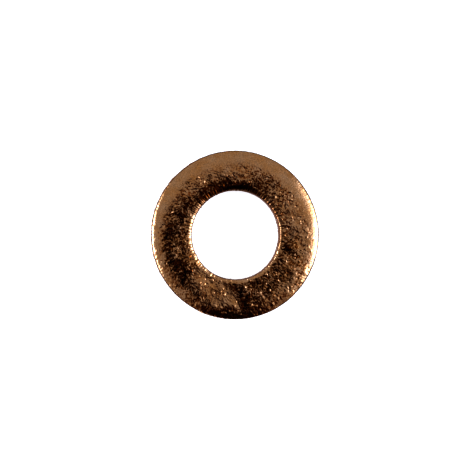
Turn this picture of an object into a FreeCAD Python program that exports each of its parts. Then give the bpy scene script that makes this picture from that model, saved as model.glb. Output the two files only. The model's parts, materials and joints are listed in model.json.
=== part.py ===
import FreeCAD
import Part
import math
import os

# A flat washer for an 8 mm bolt: one ring stamped out of bronze plate, then tumbled.
# Lengths are in millimetres. +Z is up, out of the face that was under the punch.
# The origin is on the hole's axis, in the plane of the lower face.
#
# A compound die cuts the rim and the hole at one stroke, and leaves the same section at both edges:
# the upper face is drawn down in a smooth roll, the wall under it is sheared to a burnished land at
# full size, and the rest of the wall breaks away and draws back on its way to the lower face.

# The bolt, and the room round it
bolt_diameter = 8.0
bolt_clearance = 0.4        # on the diameter

# The ring
outer_diameter = 16.0
thickness = 1.6

# The wall of the rim
rim_roll_width = 1.3        # how far in from the wall the upper face starts to fall
rim_roll_depth = 0.3        # how far it has fallen where it meets the wall
rim_land_height = 0.6
rim_break_draw = 0.06       # how much smaller the radius is at the lower face

# The wall of the hole
hole_roll_width = 0.48
hole_roll_depth = 0.22
hole_land_height = 0.62
hole_break_draw = 0.07      # how much larger the radius is at the lower face

# Both lower edges, where tumbling wore the corner off
lower_edge_round = 0.08


def point(radius, height):
    """A point of the section, which lies in the plane Y = 0."""
    return FreeCAD.Vector(radius, 0, height)


def line(start, end):
    return Part.LineSegment(start, end).toShape()


def rounding(start, corner, end):
    """The curve from start to end that touches both legs of the corner.

    It is a quarter of an ellipse in a square corner, and an arc of a circle between two equal legs.
    """
    half_turn = (corner - start).getAngle(end - corner) / 2
    curve = Part.BezierCurve()
    curve.setPoles([start, corner, end])
    curve.setWeight(2, math.cos(half_turn))
    return curve.toShape()


def stamped_edge(wall_radius, inward, roll_width, roll_depth, land_height, break_draw):
    """One wall's lines from the upper face to the lower one, with its first and last points.

    inward is the radial way into the metal: -1 at the rim and 1 at the hole.
    """
    face_end = point(wall_radius + inward * roll_width, thickness)
    upper_corner = point(wall_radius, thickness)
    land_top = point(wall_radius, thickness - roll_depth)
    land_foot = point(wall_radius, thickness - roll_depth - land_height)
    lower_corner = point(wall_radius + inward * break_draw, 0)
    up_the_break = (land_foot - lower_corner).normalize()
    break_end = lower_corner + up_the_break * lower_edge_round
    seat_end = lower_corner + point(inward, 0) * lower_edge_round
    lines = [
        rounding(face_end, upper_corner, land_top),
        line(land_top, land_foot),
        line(land_foot, break_end),
        rounding(break_end, lower_corner, seat_end),
    ]
    return lines, face_end, seat_end


def washer_section():
    """The metal that a cut through the axis shows on one side of it."""
    rim_radius = outer_diameter / 2
    hole_radius = (bolt_diameter + bolt_clearance) / 2
    rim, rim_face, rim_seat = stamped_edge(
        rim_radius, -1, rim_roll_width, rim_roll_depth, rim_land_height, rim_break_draw
    )
    hole, hole_face, hole_seat = stamped_edge(
        hole_radius, 1, hole_roll_width, hole_roll_depth, hole_land_height, hole_break_draw
    )
    upper_face = line(hole_face, rim_face)
    lower_face = line(hole_seat, rim_seat)
    outline = Part.__sortEdges__([upper_face, *rim, lower_face, *hole])
    return Part.Face(Part.Wire(outline))


def washer():
    """The section turned once about the axis."""
    return washer_section().revolve(point(0, 0), FreeCAD.Vector(0, 0, 1), 360)


os.makedirs("parts", exist_ok=True)
ring = washer()
ring.exportStep("parts/washer.step")
print(f"washer: {ring.ShapeType}, valid {ring.isValid()}, {len(ring.Faces)} faces, {ring.Volume:.2f} mm3")
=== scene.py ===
import bpy
import json
import math
import numpy as np
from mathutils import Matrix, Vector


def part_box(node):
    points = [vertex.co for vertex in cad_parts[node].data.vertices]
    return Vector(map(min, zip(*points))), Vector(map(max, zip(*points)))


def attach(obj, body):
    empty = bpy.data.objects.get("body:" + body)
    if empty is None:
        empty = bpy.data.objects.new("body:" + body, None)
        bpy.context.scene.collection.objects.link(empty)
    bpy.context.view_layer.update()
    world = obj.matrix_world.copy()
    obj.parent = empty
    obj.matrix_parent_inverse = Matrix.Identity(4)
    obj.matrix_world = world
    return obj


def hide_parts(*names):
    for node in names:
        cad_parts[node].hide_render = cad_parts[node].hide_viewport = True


# A flat washer stamped out of bronze and tumbled, lying on a pale table with its rolled edges up.
# All lengths are in metres. East is +X, north is +Y, and the hole's axis is +Z.

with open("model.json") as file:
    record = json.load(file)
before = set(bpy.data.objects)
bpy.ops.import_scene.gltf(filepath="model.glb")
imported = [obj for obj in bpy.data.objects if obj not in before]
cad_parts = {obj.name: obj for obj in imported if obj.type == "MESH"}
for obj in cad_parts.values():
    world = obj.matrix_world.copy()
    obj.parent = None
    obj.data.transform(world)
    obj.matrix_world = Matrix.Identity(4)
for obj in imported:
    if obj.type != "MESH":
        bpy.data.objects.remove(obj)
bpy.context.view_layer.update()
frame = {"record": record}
mm = 0.001
print("frame loaded")

ring = {
    "stepsAround": 720,
    # steps along each stretch of the section
    "faceSteps": 41,
    "rimRollSteps": 28,
    "landSteps": 7,
    "breakSteps": 10,
    "lowerRoundSteps": 3,
    "lowerFaceSteps": 14,
    "holeRollSteps": 12,
    # the section, as it was stamped
    "rimRollWidth": 1.3 * mm,
    "rimRollDepth": 0.3 * mm,
    "rimLandHeight": 0.6 * mm,
    "rimBreakDraw": 0.06 * mm,
    "holeRollWidth": 0.48 * mm,
    "holeRollDepth": 0.22 * mm,
    "holeLandHeight": 0.62 * mm,
    "holeBreakDraw": 0.07 * mm,
    "lowerEdgeRound": 0.08 * mm,
    # share inwards of the surface's heading where the bore's dark colour, painted shade, starts and where
    # it is full
    "boreShadeTurn": (0.45, 0.75),
    "stripMargin": 0.006,          # left free round each strip of the UV map
}

# wear left by the die and by tumbling; slopes are in degrees, and a pair with no words of its own is
# where a thing starts and where it is full
wear = {
    "crownTop": 5.3 * mm,          # radius of the face's highest ring
    "crownSlope": 3.4,             # reached where the rim's roll starts
    "dishSide": (0.4, 1.0),        # share of north where the face dips more towards the hole
    "dishBy": 4.0,                 # how many times the crown's own dip is added there
    "waveLength": 2.6 * mm,        # broad unevenness of the whole upper side
    "waveSlope": 0.8,
    "rippleLength": 1.1 * mm,      # closer unevenness of the dented band
    "rippleSlope": 1.2,
    "dentPitch": 0.17 * mm,        # the small hollows that cover the face
    "dentStretch": 1.6,            # how much longer than wide
    "dentUneven": 0.5,             # 0 would make them all lie equally deep
    "dentSlope": 3.8,
    "chipSize": (0.075 * mm, 0.035 * mm),   # sparse sharper marks, length and width
    "chipShare": 0.0022,           # of the sheet's cells that hold one
    "chipSlope": 6.2,
    "dentsFadeOut": (7.4 * mm, 8.1 * mm),   # radii between which they die out at the rim
    "dentsFadeIn": (4.35 * mm, 4.7 * mm),   # and at the hole
    "calmSide": (-0.9, 0.9),       # share of north where the face gets calmer
    "calmBy": (1.1 * mm, 0.2 * mm),         # how much narrower the dents' band is there, at rim and hole
    "leftOver": (0.7, 0.08),       # share of their depth past that band, on the other side and the calm one
    "hollowDepth": (-0.1, 1.1),    # depth, in standard deviations, where a dent's hollow colour, tarnish and painted shade, shows
    "paintedShadeEdge": (0.15, 0.95),     # strength where the painted shade shows
    "ragged": (0.12, 0.45),        # how much the ripples and the dents break up its edge
    "lipSide": (0.2, 1.0),         # share of east where the hole's roll is tighter
    "lipSqueeze": 0.45,
    "lipReach": 1.0 * mm,
    "streakWidth": 0.09 * mm,      # upright marks of the die on both walls
    "streakRadius": 6 * mm,        # where they are that wide
    "streakDepth": 0.004 * mm,
    "streakTurn": (0.08, 0.5),     # share sideways of the surface's heading where they show on the rolls
    "lipStreakDepth": 0.016 * mm,  # the same where the hole's wall rolls over
    "lipStreakTo": (4.55 * mm, 5.0 * mm),   # radii between which they die out on the face
    "lipStreakSides": (0.25, 0.6),          # share of east or west where they are that long
    "lipStreakSouth": (0.3, 0.9),  # share of south where they aren't
    "rimStreakDepth": 0.009 * mm,  # and the rim's
    "tearWidth": 0.16 * mm,        # roughness of the broken band under each land
    "tearStretch": 3,
    "tearDepth": 0.012 * mm,
    "sheetSpan": 18 * mm,          # the random sheets repeat after this length
    "sheetCell": 0.03 * mm,
    "sheetShare": 0.01,            # of its cells that hold a mark
    "sheetTurns": 5,               # directions that long marks lie in
    "seed": 5,
}

# knocks placed one by one: east and north of the axis, then the size
marks = {
    "foldFrom": (-0.56 * mm, -5.08 * mm),
    "foldTo": (0.53 * mm, -7.09 * mm),
    "foldDepth": 0.055 * mm,
    "foldEast": 1.0 * mm,          # how far each side of the fold reaches
    "foldWest": 1.5 * mm,
    "foldPaintedShade": (1.0, -0.6),      # strength of the painted shade on the east side, and on the west, where below 0 it paints the hollows lighter
    "foldPaintedShadeFull": 0.5,          # share of the depth where it is full
    "foldFadeIn": (-0.5 * mm, 0.1 * mm),    # past its first end
    "foldFadeOut": (-0.2 * mm, 0.4 * mm),   # past its last end
    # broad leans of the face: size, heading from east in degrees, and slope
    "leans": [
        (-2.2 * mm, -5.8 * mm, 1.8 * mm, 40, 4.5),
        (-1.0 * mm, -4.9 * mm, 0.7 * mm, 45, 4.5),
        (-1.6 * mm, -4.9 * mm, 0.6 * mm, 50, 3.5),
        (-3.5 * mm, -4.1 * mm, 1.0 * mm, 40, 3.5),
        (-1.7 * mm, -6.7 * mm, 0.7 * mm, 60, 3.0),
        (-0.4 * mm, -6.1 * mm, 0.8 * mm, 80, 3.0),
        (5.1 * mm, -1.4 * mm, 0.8 * mm, 200, 3.5),
        (5.1 * mm, 1.3 * mm, 0.9 * mm, 10, 2.5),
        (2.9 * mm, 5.0 * mm, 0.8 * mm, 235, 3.0),
        (-0.6 * mm, 6.4 * mm, 1.0 * mm, 90, 1.5),
        (-4.2 * mm, 4.2 * mm, 0.8 * mm, 120, 2.0),
    ],
    # patches of painted shade: heading and half length in degrees round the ring, middle radius, half
    # width, and strength, which is below 0 where they take the hollows' dark colour away and paint them
    # lighter instead
    "paintedShadePatches": [
        # the dark band round the north of the hole
        (75, 14, 4.9 * mm, 0.35 * mm, 0.5),
        (92, 14, 4.75 * mm, 0.5 * mm, 1.0),
        (108, 12, 4.9 * mm, 0.5 * mm, 0.85),
        (123, 12, 5.05 * mm, 0.5 * mm, 0.8),
        (138, 12, 5.1 * mm, 0.4 * mm, 0.6),
        # the dark west, out to the middle of the face
        (152, 10, 5.4 * mm, 0.5 * mm, 0.7),
        (167, 10, 5.45 * mm, 0.45 * mm, 0.9),
        (165, 9, 6.2 * mm, 0.4 * mm, 0.6),
        (182, 10, 6.3 * mm, 0.6 * mm, 0.8),
        (187, 12, 5.2 * mm, 0.35 * mm, 0.7),
        (196, 9, 6.6 * mm, 0.5 * mm, 0.5),
        (210, 9, 6.1 * mm, 0.75 * mm, 1.0),
        (224, 8, 6.5 * mm, 0.5 * mm, 0.8),
        # the hole's lip
        (124, 22, 4.4 * mm, 0.35 * mm, 0.7),
        (151, 7, 4.4 * mm, 0.3 * mm, 0.5),
        (38, 40, 4.4 * mm, 0.35 * mm, 0.71),
        (70, 12, 4.4 * mm, 0.35 * mm, 0.2),
        (350, 13, 4.4 * mm, 0.3 * mm, 0.45),
        (322, 14, 4.4 * mm, 0.3 * mm, 0.3),
        # the north-east and the east
        (60, 10, 5.2 * mm, 0.5 * mm, 0.6),
        (57, 7, 6.2 * mm, 0.35 * mm, 0.4),
        (45, 9, 5.8 * mm, 0.5 * mm, 0.4),
        (350, 6, 5.2 * mm, 0.45 * mm, 0.9),
        (343, 6, 6.0 * mm, 0.4 * mm, 0.7),
        (338, 6, 4.9 * mm, 0.3 * mm, 0.5),
        # the south-east, as far as the fold, and the rim south of it
        (315, 9, 6.0 * mm, 0.5 * mm, 0.7),
        (300, 32, 4.95 * mm, 0.3 * mm, 0.6),
        (300, 10, 5.6 * mm, 0.7 * mm, 0.55),
        (285, 8, 4.7 * mm, 0.25 * mm, 0.5),
        (283, 8, 6.2 * mm, 0.6 * mm, 0.7),
        (281, 7, 5.9 * mm, 0.5 * mm, 0.5),
        (275, 4, 5.3 * mm, 0.35 * mm, 0.6),
        (270, 9, 7.3 * mm, 0.5 * mm, 0.6),
        # painted lighter, the hollows' dark colour taken away
        (15, 22, 6.0 * mm, 1.0 * mm, -0.5),
        (105, 25, 6.1 * mm, 0.5 * mm, -0.6),
        (228, 8, 4.85 * mm, 0.3 * mm, -0.8),
        (240, 16, 5.5 * mm, 0.9 * mm, -0.35),
        (250, 10, 5.0 * mm, 0.4 * mm, -0.6),
        (255, 9, 6.6 * mm, 0.6 * mm, -0.8),
        (266, 6, 6.1 * mm, 0.9 * mm, -0.9),
        (317, 10, 6.75 * mm, 0.4 * mm, -1.1),
        (350, 10, 6.8 * mm, 0.4 * mm, -0.8),
    ],
    # small pits: size and depth
    "pits": [
        (-1.3 * mm, -7.3 * mm, 0.09 * mm, 0.05 * mm),
        (1.6 * mm, -6.6 * mm, 0.09 * mm, 0.05 * mm),
        (2.4 * mm, -7.0 * mm, 0.09 * mm, 0.05 * mm),
        (3.3 * mm, -6.8 * mm, 0.09 * mm, 0.05 * mm),
        (3.8 * mm, -5.7 * mm, 0.09 * mm, 0.05 * mm),
        (2.5 * mm, -5.5 * mm, 0.08 * mm, 0.04 * mm),
        (4.1 * mm, -3.6 * mm, 0.08 * mm, 0.04 * mm),
        (5.1 * mm, -4.4 * mm, 0.09 * mm, 0.05 * mm),
        (-5.6 * mm, 0.0 * mm, 0.08 * mm, 0.04 * mm),
        (0.4 * mm, 5.1 * mm, 0.08 * mm, 0.04 * mm),
        (3.9 * mm, 3.6 * mm, 0.08 * mm, 0.04 * mm),
        (-3.6 * mm, 6.6 * mm, 0.09 * mm, 0.05 * mm),
        (-2.3 * mm, -3.8 * mm, 0.10 * mm, 0.06 * mm),
    ],
}


def straight(start, end, steps):
    # points from start up to, but not at, end, evenly spaced
    share = np.arange(steps)[:, None] / steps
    return start + share * (end - start)


def rolled(start, corner, end, steps):
    # a quarter of an ellipse that touches both legs of the corner:
    # centre + (start - centre) * cos(angle) + (end - centre) * sin(angle)
    angle = np.arange(steps)[:, None] / steps * math.pi / 2
    centre = start + end - corner
    return centre + (start - centre) * np.cos(angle) + (end - centre) * np.sin(angle)


def ringSection(rimRadius, holeRadius, thickness):
    # the closed outline of the metal on one side of the axis, as radius and height:
    # out along the face, down the rim, back under, and up the hole's wall
    def at(radius, height):
        return np.array([radius, height])

    faceIn = at(holeRadius + ring["holeRollWidth"], thickness)
    faceOut = at(rimRadius - ring["rimRollWidth"], thickness)
    rimTop = at(rimRadius, thickness - ring["rimRollDepth"])
    rimLand = rimTop - at(0, ring["rimLandHeight"])
    rimFoot = at(rimRadius - ring["rimBreakDraw"], 0)
    rimBreak = rimFoot + at(0, ring["lowerEdgeRound"])
    underOut = rimFoot - at(ring["lowerEdgeRound"], 0)
    holeTop = at(holeRadius, thickness - ring["holeRollDepth"])
    holeLand = holeTop - at(0, ring["holeLandHeight"])
    holeFoot = at(holeRadius + ring["holeBreakDraw"], 0)
    holeBreak = holeFoot + at(0, ring["lowerEdgeRound"])
    underIn = holeFoot + at(ring["lowerEdgeRound"], 0)
    stretches = [
        ("face", straight(faceIn, faceOut, ring["faceSteps"])),
        ("roll", rolled(faceOut, at(rimRadius, thickness), rimTop, ring["rimRollSteps"])),
        ("land", straight(rimTop, rimLand, ring["landSteps"])),
        ("break", straight(rimLand, rimBreak, ring["breakSteps"])),
        ("foot", rolled(rimBreak, rimFoot, underOut, ring["lowerRoundSteps"])),
        ("under", straight(underOut, underIn, ring["lowerFaceSteps"])),
        ("foot", rolled(underIn, holeFoot, holeBreak, ring["lowerRoundSteps"])),
        ("break", straight(holeBreak, holeLand, ring["breakSteps"])),
        ("land", straight(holeLand, holeTop, ring["landSteps"])),
        ("roll", rolled(holeTop, at(holeRadius, thickness), faceIn, ring["holeRollSteps"])),
    ]
    zone = np.concatenate([[name] * len(points) for name, points in stretches])
    return np.concatenate([points for name, points in stretches]), zone


def facing(section):
    # the way the surface looks at each point, outwards and up: the step from the point before it to the
    # point after it, made 1 long and turned a quarter
    step = np.roll(section, -1, axis=0) - np.roll(section, 1, axis=0)
    step /= np.linalg.norm(step, axis=1)[:, None]
    return -step[:, 1], step[:, 0]


def softStep(value, low, high):
    # 0 below low, 1 above high, and 3s^2 - 2s^3 between them
    share = np.clip((value - low) / (high - low), 0, 1)
    return share * share * (3 - 2 * share)


def markSheet(length, width, turns, filled, rng):
    # a square sheet of short troughs that repeats at its edges: for each direction, scattered single
    # cells get a random depth, and each is spread into a Gaussian, longer than it is wide
    count = int(wear["sheetSpan"] / wear["sheetCell"])
    across = np.fft.fftfreq(count, wear["sheetCell"])[:, None]
    along = np.fft.rfftfreq(count, wear["sheetCell"])[None, :]
    sheet = np.zeros((count, count))
    for turn in range(turns):
        angle = math.pi * turn / turns
        lengthways = along * math.cos(angle) + across * math.sin(angle)
        widthways = across * math.cos(angle) - along * math.sin(angle)
        spread = np.exp(-2 * math.pi ** 2 * ((lengthways * length) ** 2 + (widthways * width) ** 2))
        hits = np.where(rng.random(sheet.shape) < filled, rng.normal(size=sheet.shape), 0)
        sheet += np.fft.irfft2(np.fft.rfft2(hits) * spread, s=sheet.shape)
    return sheet


def toSlope(sheet, degrees):
    # the sheet scaled so that its slopes have this root mean square
    steep = np.sqrt(np.mean(np.gradient(sheet, wear["sheetCell"], axis=0) ** 2))
    return sheet * math.tan(math.radians(degrees)) / steep


def readSheet(sheet, x, y):
    # the sheet's height at each place, mixed from the four cells round it
    count = len(sheet)
    row = y / wear["sheetCell"] % count
    column = x / wear["sheetCell"] % count
    row0 = np.floor(row).astype(int) % count
    column0 = np.floor(column).astype(int) % count
    row1 = (row0 + 1) % count
    column1 = (column0 + 1) % count
    down = row - np.floor(row)
    side = column - np.floor(column)
    near = sheet[row0, column0] * (1 - side) + sheet[row0, column1] * side
    far = sheet[row1, column0] * (1 - side) + sheet[row1, column1] * side
    return near * (1 - down) + far * down


def swell(length, slope, x, y, rng):
    # soft round bumps about that length apart: Gaussians with a fifth of it as their deviation
    spread = length / 5
    sheet = markSheet(spread, spread, 1, wear["sheetShare"], rng)
    return readSheet(toSlope(sheet, slope), x, y)


def dents(x, y, rng):
    # overlapping shallow bowls: each cell of a square net holds one bowl, at a random place and turned at
    # random, and the height is that of the lowest bowl there: the squared distance to its centre, with the
    # length shortened and the width widened by the stretch, plus a random height of its own. The bowls
    # are then sunk so that the mean is 0, and flattened to the slope.
    pitch = wear["dentPitch"]
    stretch = math.sqrt(wear["dentStretch"])
    count = int(wear["sheetSpan"] / pitch)
    shift = rng.random((3, count, count))
    turn = rng.random((count, count)) * math.pi
    column = np.floor(x / pitch).astype(int)
    row = np.floor(y / pitch).astype(int)
    lowest = np.full(x.shape, np.inf)
    for sideStep in (-2, -1, 0, 1, 2):
        for upStep in (-2, -1, 0, 1, 2):
            cell = ((row + upStep) % count, (column + sideStep) % count)
            east = x / pitch - (column + sideStep) - shift[0][cell]
            north = y / pitch - (row + upStep) - shift[1][cell]
            lengthways = (east * np.cos(turn[cell]) + north * np.sin(turn[cell])) / stretch
            widthways = (north * np.cos(turn[cell]) - east * np.sin(turn[cell])) * stretch
            bowl = lengthways ** 2 + widthways ** 2 + shift[2][cell] * wear["dentUneven"]
            lowest = np.minimum(lowest, bowl)
    return (lowest - lowest.mean()) * pitch * math.tan(math.radians(wear["dentSlope"]))


def chips(x, y, rng):
    # the sparse sharper marks, a sheet of troughs read at each place
    sheet = markSheet(*wear["chipSize"], wear["sheetTurns"], wear["chipShare"], rng)
    return readSheet(toSlope(sheet, wear["chipSlope"]), x, y)


def fold(x, y):
    # a shallow V along a line: its depth goes as (1 - distance / width) to the power 1.5 on each side, and
    # fades out past the line's two ends; its east side gets painted shade, its west is painted lighter
    start = np.array(marks["foldFrom"])
    run = np.array(marks["foldTo"]) - start
    length = np.linalg.norm(run)
    run = run / length
    along = (x - start[0]) * run[0] + (y - start[1]) * run[1]
    aside = (y - start[1]) * run[0] - (x - start[0]) * run[1]
    width = np.where(aside > 0, marks["foldEast"], marks["foldWest"])
    valley = np.clip(1 - np.abs(aside) / width, 0, 1) ** 1.5
    ends = softStep(along, *marks["foldFadeIn"]) * (1 - softStep(along - length, *marks["foldFadeOut"]))
    paintedShade = softStep(valley, 0, marks["foldPaintedShadeFull"]) * np.where(aside > 0, *marks["foldPaintedShade"])
    return -marks["foldDepth"] * valley * ends, paintedShade * ends


def leans(x, y):
    # patches that tip towards a heading: a plane through each centre, times exp(-(distance / size)^4)
    height = np.zeros(x.shape)
    for east, north, size, heading, slope in marks["leans"]:
        turn = math.radians(heading)
        forward = (x - east) * math.cos(turn) + (y - north) * math.sin(turn)
        distance = np.hypot(x - east, y - north)
        height -= math.tan(math.radians(slope)) * forward * np.exp(-(distance / size) ** 4)
    return height


def paintedShadePatches(x, y):
    # the painted shade: the sum over the patches of strength * exp(-(turn off its middle / half length)^4
    # - (distance off its middle radius / half width)^4)
    turn = np.degrees(np.arctan2(y, x))
    radius = np.hypot(x, y)
    paintedShade = np.zeros(x.shape)
    for heading, arc, middle, width, strength in marks["paintedShadePatches"]:
        off = (turn - heading + 180) % 360 - 180
        paintedShade += strength * np.exp(-(off / arc) ** 4 - ((radius - middle) / width) ** 4)
    return paintedShade


def pits(x, y):
    # small round pits, each exp(-(distance / size)^2)
    height = np.zeros(x.shape)
    for east, north, size, depth in marks["pits"]:
        height -= depth * np.exp(-((x - east) ** 2 + (y - north) ** 2) / size ** 2)
    return height


def faceWear(x, y, radius, rng):
    # height added to the upper side, how deep in a hollow each place is, and how much painted shade it
    # gets. The height is the sum of all the kinds of wear, with the ripples kept to the dents' band, and
    # the dents and chips shallower past it. The other two are the dents' depth and the painted shade's
    # strength, through soft steps.
    waves = swell(wear["waveLength"], wear["waveSlope"], x, y, rng)
    ripples = swell(wear["rippleLength"], wear["rippleSlope"], x, y, rng)
    tumbled = dents(x, y, rng)
    sharp = chips(x, y, rng)
    print("wear made")
    calm = softStep(y / np.hypot(x, y), *wear["calmSide"])
    outer = 1 - softStep(radius + calm * wear["calmBy"][0], *wear["dentsFadeOut"])
    band = outer * softStep(radius - calm * wear["calmBy"][1], *wear["dentsFadeIn"])
    leftOver = wear["leftOver"][0] + (wear["leftOver"][1] - wear["leftOver"][0]) * calm
    share = leftOver + (1 - leftOver) * band
    crease, creasePaintedShade = fold(x, y)
    height = waves + ripples * band + (tumbled + sharp) * share + crease + leans(x, y) + pits(x, y)
    depth = -tumbled / tumbled.std()
    # painted shade from the patches and the fold, and below 0 a painted lighter tone that takes the
    # hollows' dark colour away
    paintedShade = paintedShadePatches(x, y) + creasePaintedShade
    # the hollows' dark colour: tarnish, and painted shade as well
    hollowTarnishAndShade = softStep(depth, *wear["hollowDepth"]) * band * np.clip(1 + paintedShade, 0, 1)
    ragged = wear["ragged"][0] * ripples / ripples.std() + wear["ragged"][1] * depth
    return height, hollowTarnishAndShade, softStep(paintedShade + ragged * band, *wear["paintedShadeEdge"])


def crown(radius, north, rollStart):
    # a parabola that falls both ways from crownTop, to the slope crownSlope at rollStart, then straight on;
    # on the dished side its inner half falls further
    reach = rollStart - wear["crownTop"]
    past = np.minimum(radius - wear["crownTop"], reach)
    beyond = np.clip(radius - rollStart, 0, None)
    dish = 1 + wear["dishBy"] * softStep(north, *wear["dishSide"]) * (past < 0)
    return -math.tan(math.radians(wear["crownSlope"])) * (past ** 2 / 2 / reach * dish + beyond)


def lipPull(radius, east):
    # how far the metal beside the hole is drawn in on the east side: the squeeze * s * (1 - s) * the reach,
    # where s goes from 0 at the hole to 1 at the end of the reach
    fromHole = np.clip((radius - radius.min()) / wear["lipReach"], 0, 1)
    tighter = wear["lipSqueeze"] * softStep(east, *wear["lipSide"])
    return tighter * fromHole * (1 - fromHole) * wear["lipReach"]


def streaks(count, rng):
    # one random line round the ring, smoothed by a Gaussian and scaled to a root mean square of 1
    line = np.fft.rfft(rng.normal(size=count))
    wave = np.fft.rfftfreq(count, 2 * math.pi * wear["streakRadius"] / count)
    line = np.fft.irfft(line * np.exp(-2 * (math.pi * wave * wear["streakWidth"] / 2) ** 2), count)
    return line[:, None] / line.std()


def streakDepth(radius, east, north, outRadial, upward, walls):
    # how deep the streaks are cut: one depth on the walls, another on the hole's roll, which goes on over
    # the face as the long streaks of the east and west sides, and a third on the rim's roll, by the square
    # of the share of east and away from the calm side
    onRoll = softStep(np.abs(outRadial), *wear["streakTurn"]) * upward
    depth = wear["streakDepth"] * np.maximum(walls, onRoll)
    depth = np.where(onRoll * (outRadial < 0) > 0, wear["lipStreakDepth"] * onRoll, depth)
    long = 1 - softStep(radius, *wear["lipStreakTo"])
    long = long * (1 - softStep(-north, *wear["lipStreakSouth"])) * upward
    long = long * softStep(np.abs(east), *wear["lipStreakSides"])
    depth = np.maximum(depth, wear["lipStreakDepth"] * long)
    calm = softStep(north, *wear["calmSide"])
    onRim = (1 - calm) * onRoll * (outRadial > 0) * east ** 2
    return depth + (wear["rimStreakDepth"] - depth) * onRim


def tears(theta, along, rng):
    # the torn surface of the breaks: a sheet on the turn, which it spans in half a turn, and on the
    # distance along the section, scaled to a root mean square of the tear's depth
    width = wear["tearWidth"]
    sheet = markSheet(width, width / wear["tearStretch"], wear["sheetTurns"], wear["sheetShare"], rng)
    aroundSheet = theta[:, None] * wear["sheetSpan"] / math.pi
    return readSheet(sheet / sheet.std(), aroundSheet, along[None, :]) * wear["tearDepth"]


def closedGrid(name, places):
    # a mesh on a grid that closes both ways: each face joins a point to the next along the section and to
    # the same two one step round, in the order that makes it look outwards
    rows, columns = places.shape[:2]
    corner = np.arange(rows * columns).reshape(rows, columns)
    ahead = np.roll(corner, -1, axis=0)
    quads = np.stack([corner, np.roll(corner, -1, axis=1), np.roll(ahead, -1, axis=1), ahead], axis=-1)
    mesh = bpy.data.meshes.new(name)
    mesh.vertices.add(rows * columns)
    mesh.vertices.foreach_set("co", places.astype(np.float32).ravel())
    mesh.loops.add(quads.size)
    mesh.loops.foreach_set("vertex_index", quads.astype(np.int32).ravel())
    mesh.polygons.add(rows * columns)
    mesh.polygons.foreach_set("loop_start", np.arange(0, quads.size, 4, dtype=np.int32))
    mesh.update(calc_edges=True)
    mesh.shade_smooth()
    return mesh


def layFlat(mesh, rows, columns):
    # the ring cut into two half turns, each laid out as a strip: along is the turn, across is the section
    row, column = np.meshgrid(np.arange(rows), np.arange(columns), indexing="ij")
    half = rows // 2
    rowEnds = row[..., None] % half + np.array([0, 0, 1, 1])
    columnEnds = column[..., None] + np.array([0, 1, 1, 0])
    margin = ring["stripMargin"]
    along = margin + rowEnds / half * (1 - 2 * margin)
    across = margin + columnEnds / columns * (0.5 - 2 * margin) + (row[..., None] >= half) * 0.5
    layer = mesh.uv_layers.new(name="OFBake")
    layer.data.foreach_set("uv", np.stack([along, across], axis=-1).astype(np.float32).ravel())


def keepShare(mesh, name, values):
    # one number for each point of the mesh, which the bronze reads by its name
    layer = mesh.attributes.new(name, "FLOAT", "POINT")
    layer.data.foreach_set("value", values.astype(np.float32).ravel())


def makeRing():
    # the section carried round the axis: a point stands at (east * radius, north * radius, height), where
    # east and north are the cosine and sine of the turn, after the wear has moved it the way its surface
    # looks, the crown has lowered it and the lip has drawn it in
    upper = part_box("washer")[1]
    bore = next(m for m in frame["record"]["mounts"] if m["name"] == "bore")
    section, zone = ringSection(upper.x, bore["dims"]["r_mm"] * mm, upper.z)
    radius, height = section.T
    outRadial, outUp = facing(section)
    along = np.concatenate([[0], np.cumsum(np.linalg.norm(np.diff(section, axis=0), axis=1))])
    theta = np.arange(ring["stepsAround"]) / ring["stepsAround"] * 2 * math.pi
    east = np.cos(theta)[:, None]
    north = np.sin(theta)[:, None]
    upward = np.isin(zone, ["face", "roll"]).astype(float)
    walls = np.isin(zone, ["land", "break"]).astype(float)
    broken = (zone == "break").astype(float)

    rng = np.random.default_rng(wear["seed"])
    proud, hollowTarnishAndShade, paintedShade = faceWear(east * radius, north * radius, radius, rng)
    cut = streaks(len(theta), rng) * streakDepth(radius, east, north, outRadial, upward, walls)
    proud = proud * upward + cut + tears(theta, along, rng) * broken
    worn = radius - lipPull(radius, east) * upward + proud * outRadial
    drop = crown(radius, north, upper.x - ring["rimRollWidth"]) * upward
    places = np.stack([east * worn, north * worn, height + proud * outUp + drop], axis=-1)

    mesh = closedGrid("washerRing", places)
    layFlat(mesh, *hollowTarnishAndShade.shape)
    shares = {
        # dark hollows: tarnish, and painted shade as well
        "hollowTarnishAndShade": hollowTarnishAndShade * upward,
        # painted shade
        "paintedShade": paintedShade * upward,
        "wall": np.isin(zone, ["land", "break", "foot"]),
        "torn": broken,
        # painted shade on the hole's wall and the steepest part of its roll
        "bore": softStep(-outRadial, *ring["boreShadeTurn"]),
    }
    for name, values in shares.items():
        keepShare(mesh, name, np.broadcast_to(values, hollowTarnishAndShade.shape))
    piece = bpy.data.objects.new("washerRing", mesh)
    bpy.context.scene.collection.objects.link(piece)
    print("ring made:", len(mesh.polygons), "faces")
    return piece


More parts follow.
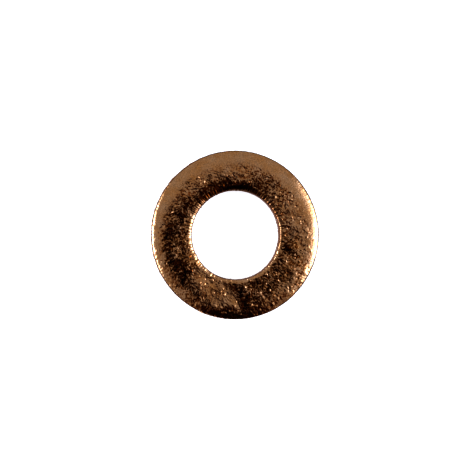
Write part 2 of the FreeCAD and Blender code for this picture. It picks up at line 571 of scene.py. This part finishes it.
bronze = {
    "bright": (0.63, 0.38, 0.22, 1),
    "tarnished": (0.61, 0.305, 0.12, 1),
    "patchSize": 1.5 * mm,           # of those two tones
    "patchDetail": 6,
    "patchRoughness": 0.7,
    "patchEdge": (0.35, 0.65),       # heights of the patches' noise between which one turns into the other
    # colours laid over them in this order, each by the ring's share of the same name
    "over": {
        # the hollows: tarnish, and painted shade as well
        "hollowTarnishAndShade": (0.33, 0.10, 0.015, 1),
        # painted shade
        "paintedShade": (0.10, 0.028, 0.005, 1),
        "wall": (0.40, 0.24, 0.15, 1),
        "torn": (0.20, 0.12, 0.08, 1),
        # painted shade on the hole's wall and the steepest part of its roll
        "bore": (0.11, 0.06, 0.055, 1),
    },
    "atGrazing": (0.55, 0.36, 0.25, 1),   # tint of the metal seen nearly edge-on
    "gloss": (0.13, 0.06),           # roughness of the tarnished patches and of the bright ones
    "tornRoughness": 0.45,
    "grainSize": 0.10 * mm,
    "grainDetail": 2,
    "grainDepth": 0.012 * mm,
    "grainEdge": (0.3, 0.7),         # heights of the grain's noise that are its lows and its highs
    "grainTone": (0.72, 1.24),       # what the lows and the highs multiply the colour by
}


def noise(tree, size, detail, roughness=0.5):
    # a noise on the piece's own coordinates
    place = tree.nodes.new("ShaderNodeTexCoord")
    node = tree.nodes.new("ShaderNodeTexNoise")
    node.inputs["Scale"].default_value = 1 / size
    node.inputs["Detail"].default_value = detail
    node.inputs["Roughness"].default_value = roughness
    tree.links.new(place.outputs["Object"], node.inputs["Vector"])
    return node.outputs["Fac"]


def ranged(tree, value, lowHigh, ends):
    # the first end below low, the second above high, and a straight line between them
    node = tree.nodes.new("ShaderNodeMapRange")
    node.inputs["From Min"].default_value = lowHigh[0]
    node.inputs["From Max"].default_value = lowHigh[1]
    node.inputs["To Min"].default_value = ends[0]
    node.inputs["To Max"].default_value = ends[1]
    tree.links.new(value, node.inputs["Value"])
    return node.outputs["Result"]


def ringShare(tree, name):
    # one of the numbers that keepShare left on the mesh
    node = tree.nodes.new("ShaderNodeAttribute")
    node.attribute_name = name
    return node.outputs["Fac"]


def bronzeColour(tree, patches, grain):
    # the two tones mixed by the patches, then each colour over them mixed in by its share, and all of it
    # times the grain's tone
    tone = tree.nodes.new("ShaderNodeValToRGB")
    tone.color_ramp.elements[0].position = bronze["patchEdge"][0]
    tone.color_ramp.elements[0].color = bronze["tarnished"]
    tone.color_ramp.elements[1].position = bronze["patchEdge"][1]
    tone.color_ramp.elements[1].color = bronze["bright"]
    tree.links.new(patches, tone.inputs["Fac"])
    colour = tone.outputs["Color"]
    for name, over in bronze["over"].items():
        layer = tree.nodes.new("ShaderNodeMix")
        layer.data_type = "RGBA"
        layer.inputs["B"].default_value = over
        tree.links.new(ringShare(tree, name), layer.inputs["Factor"])
        tree.links.new(colour, layer.inputs["A"])
        colour = layer.outputs["Result"]
    toned = tree.nodes.new("ShaderNodeMix")
    toned.data_type = "RGBA"
    toned.blend_type = "MULTIPLY"
    toned.inputs["Factor"].default_value = 1
    tree.links.new(colour, toned.inputs["A"])
    tree.links.new(ranged(tree, grain, bronze["grainEdge"], bronze["grainTone"]), toned.inputs["B"])
    return toned.outputs["Result"]


def bronzeRoughness(tree, patches):
    # the patches' gloss, mixed with the breaks' roughness by their share
    dull = tree.nodes.new("ShaderNodeMix")
    dull.inputs["B"].default_value = bronze["tornRoughness"]
    tree.links.new(ringShare(tree, "torn"), dull.inputs["Factor"])
    tree.links.new(ranged(tree, patches, (0, 1), bronze["gloss"]), dull.inputs["A"])
    return dull.outputs["Result"]


def bronzeRelief(tree, grain):
    # the grain's noise as a height
    bump = tree.nodes.new("ShaderNodeBump")
    bump.inputs["Distance"].default_value = bronze["grainDepth"]
    tree.links.new(grain, bump.inputs["Height"])
    return bump.outputs["Normal"]


def tumbledBronze():
    # bare metal with its colour, roughness and relief from the same two noises
    material = bpy.data.materials.new("tumbledBronze")
    material.use_nodes = True
    tree = material.node_tree
    shader = tree.nodes["Principled BSDF"]
    shader.inputs["Metallic"].default_value = 1
    shader.inputs["Specular Tint"].default_value = bronze["atGrazing"]
    patches = noise(tree, bronze["patchSize"], bronze["patchDetail"], bronze["patchRoughness"])
    grain = noise(tree, bronze["grainSize"], bronze["grainDetail"])
    tree.links.new(bronzeColour(tree, patches, grain), shader.inputs["Base Color"])
    tree.links.new(bronzeRoughness(tree, patches), shader.inputs["Roughness"])
    tree.links.new(bronzeRelief(tree, grain), shader.inputs["Normal"])
    print("bronze made")
    return material


# angles are in degrees, and a pair with no words of its own is where a thing starts and where it is full
studio = {
    "tableTone": 0.9,
    "tableRoughness": 0.8,
    "tableGlow": 0.5,                # an opal table, lit a little from below
    "tableReach": 4,                 # each way from the axis
    "tableGap": 0.002 * mm,          # under the washer
    "cameraTilt": 8,                 # from straight down, towards the west
    "cameraDistance": 150 * mm,
    "cameraSees": (1 * mm, 10),      # nearest and furthest
    "shareOfWidth": 0.358,           # of the picture, taken by the washer
    "boxLight": 7.6,
    "eastBoxFrom": (26, 66),         # from straight up
    "westBoxFrom": (38, 58),
    "boxesTo": (70, 80),             # where they fade out towards the table
    "eastBoxHalfWidth": (0, 34),     # round the horizon, full and faded
    "westBoxHalfWidth": (0, 39),
    "northGrey": 0.354,
    "floorGrey": 0.010,              # the least light from anywhere
    "southHalfWidth": (14, 50),      # of the dark side, a wedge whose tip is near straight up
    "southTipEast": 8,
    "overheadDark": (7, 12.5),       # round the dark patch overhead, dark and faded
    "overheadEast": 1,
    "overheadSouth": 3.5,
    "hazeFrom": (79, 85),            # from straight up, the pale horizon
    "haze": 1.0,
    "dimTint": (1, 0.35, 0.15, 1),   # colour of the weakest light
    "boxTint": (0.9, 1, 1.22, 1),    # and of the boxes
    "plainAt": 0.8,                  # share of the north's grey that has no tint
}


def paleTable():
    # one flat square just under the washer
    mesh = bpy.data.meshes.new("table")
    reach = studio["tableReach"]
    corners = [(-reach, -reach, 0), (reach, -reach, 0), (reach, reach, 0), (-reach, reach, 0)]
    mesh.from_pydata(corners, [], [(0, 1, 2, 3)])
    table = bpy.data.objects.new("table", mesh)
    bpy.context.scene.collection.objects.link(table)
    table.location.z = -studio["tableGap"]
    material = bpy.data.materials.new("paleTable")
    material.use_nodes = True
    shader = material.node_tree.nodes["Principled BSDF"]
    shader.inputs["Base Color"].default_value = (studio["tableTone"],) * 3 + (1,)
    shader.inputs["Roughness"].default_value = studio["tableRoughness"]
    shader.inputs["Specular IOR Level"].default_value = 0
    shader.inputs["Emission Color"].default_value = (1, 1, 1, 1)
    shader.inputs["Emission Strength"].default_value = studio["tableGlow"]
    mesh.materials.append(material)


class Sky:
    # the studio round the washer, worked out from the direction that the light comes from
    def __init__(self):
        world = bpy.data.worlds.new("studio")
        world.use_nodes = True
        bpy.context.scene.world = world
        self.tree = world.node_tree
        self.direction = self.tree.nodes.new("ShaderNodeTexCoord").outputs["Generated"]

    def join(self, value, socket):
        # a link from a socket, or a plain number
        if isinstance(value, bpy.types.NodeSocket):
            self.tree.links.new(value, socket)
        else:
            socket.default_value = value

    def math(self, operation, first, second=0):
        # one step of sums on two values
        node = self.tree.nodes.new("ShaderNodeMath")
        node.operation = operation
        self.join(first, node.inputs[0])
        self.join(second, node.inputs[1])
        return node.outputs[0]

    def fade(self, value, edges):
        # 0 below the first edge and 1 above the second, softly; the edges are in degrees
        node = self.tree.nodes.new("ShaderNodeMapRange")
        node.interpolation_type = "SMOOTHSTEP"
        self.join(value, node.inputs["Value"])
        node.inputs["From Min"].default_value = math.radians(edges[0])
        node.inputs["From Max"].default_value = math.radians(edges[1])
        return node.outputs["Result"]

    def away(self, direction):
        # the angle between the light's direction and a fixed one
        node = self.tree.nodes.new("ShaderNodeVectorMath")
        node.operation = "DOT_PRODUCT"
        self.join(self.direction, node.inputs[0])
        node.inputs[1].default_value = direction
        return self.math("ARCCOSINE", node.outputs["Value"])


def studioLight():
    # light = the boxes + the grey, where neither the dark south nor the dark patch overhead takes it away,
    # + the floor grey, and the haze in place of all that near the horizon
    sky = Sky()
    split = sky.tree.nodes.new("ShaderNodeSeparateXYZ")
    sky.join(sky.direction, split.inputs[0])
    east, north, up = split.outputs
    fromZenith = sky.away((0, 0, 1))
    fromEast = sky.math("ABSOLUTE", sky.math("ARCTAN2", north, east))
    fromWest = sky.math("SUBTRACT", math.pi, fromEast)
    tip = sky.math("MULTIPLY", up, math.tan(math.radians(studio["southTipEast"])))
    fromTip = sky.math("SUBTRACT", east, tip)
    south = sky.math("MULTIPLY", north, -1)
    fromSouth = sky.math("ABSOLUTE", sky.math("ARCTAN2", fromTip, south))
    overhead = (math.radians(studio["overheadEast"]), -math.radians(studio["overheadSouth"]), 1)
    fromOverhead = sky.away(overhead / np.linalg.norm(overhead))
    low = sky.math("SUBTRACT", 1, sky.fade(fromZenith, studio["boxesTo"]))

    def box(side, fromHeading):
        # bright towards its heading, from its own edge on the way down to where both fade near the table
        wide = sky.math("SUBTRACT", 1, sky.fade(fromHeading, studio[side + "BoxHalfWidth"]))
        high = sky.fade(fromZenith, studio[side + "BoxFrom"])
        return sky.math("MULTIPLY", sky.math("MULTIPLY", wide, high), low)

    boxes = sky.math("ADD", box("east", fromEast), box("west", fromWest))
    grey = sky.math("MULTIPLY", sky.fade(fromSouth, studio["southHalfWidth"]), studio["northGrey"])
    grey = sky.math("MULTIPLY", grey, sky.fade(fromOverhead, studio["overheadDark"]))
    grey = sky.math("ADD", grey, studio["floorGrey"])
    light = sky.math("ADD", grey, sky.math("MULTIPLY", boxes, studio["boxLight"]))
    haze = sky.fade(fromZenith, studio["hazeFrom"])
    light = sky.math("MULTIPLY", light, sky.math("SUBTRACT", 1, haze))
    light = sky.math("ADD", light, sky.math("MULTIPLY", haze, studio["haze"]))
    tintedLight(sky, light)
    print("light set")


def tintedLight(sky, light):
    # the light's colour by its strength: the dim tint at none, white at plainAt * the north's grey, and the
    # boxes' tint at full light, with straight lines between
    tint = sky.tree.nodes.new("ShaderNodeValToRGB")
    tint.color_ramp.elements[0].color = studio["dimTint"]
    tint.color_ramp.elements[1].color = studio["boxTint"]
    tint.color_ramp.elements.new(studio["northGrey"] * studio["plainAt"]).color = (1, 1, 1, 1)
    sky.join(light, tint.inputs["Fac"])
    background = sky.tree.nodes["Background"]
    sky.join(light, background.inputs["Strength"])
    sky.join(tint.outputs["Color"], background.inputs["Color"])


def placeCamera():
    # above the washer's middle, tilted to the west, with the lens that makes the washer its share of the
    # picture: sensor width * distance / width seen
    lower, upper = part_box("washer")
    centre = (lower + upper) / 2
    distance = studio["cameraDistance"]
    tilt = math.radians(studio["cameraTilt"])
    camera = bpy.data.objects.new("camera", bpy.data.cameras.new("camera"))
    bpy.context.scene.collection.objects.link(camera)
    camera.location = (centre.x - distance * math.sin(tilt), centre.y, centre.z + distance * math.cos(tilt))
    camera.rotation_euler = (0, -tilt, 0)
    seen = (upper.x - lower.x) / studio["shareOfWidth"]
    camera.data.lens = camera.data.sensor_width * distance / seen
    camera.data.clip_start, camera.data.clip_end = studio["cameraSees"]
    bpy.context.scene.camera = camera
    print("camera set")


washer = makeRing()
washer.data.materials.append(tumbledBronze())
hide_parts("washer")
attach(washer, "root")
paleTable()
studioLight()
placeCamera()
bpy.context.scene.view_settings.view_transform = "Standard"
bpy.context.scene.view_settings.look = "High Contrast"
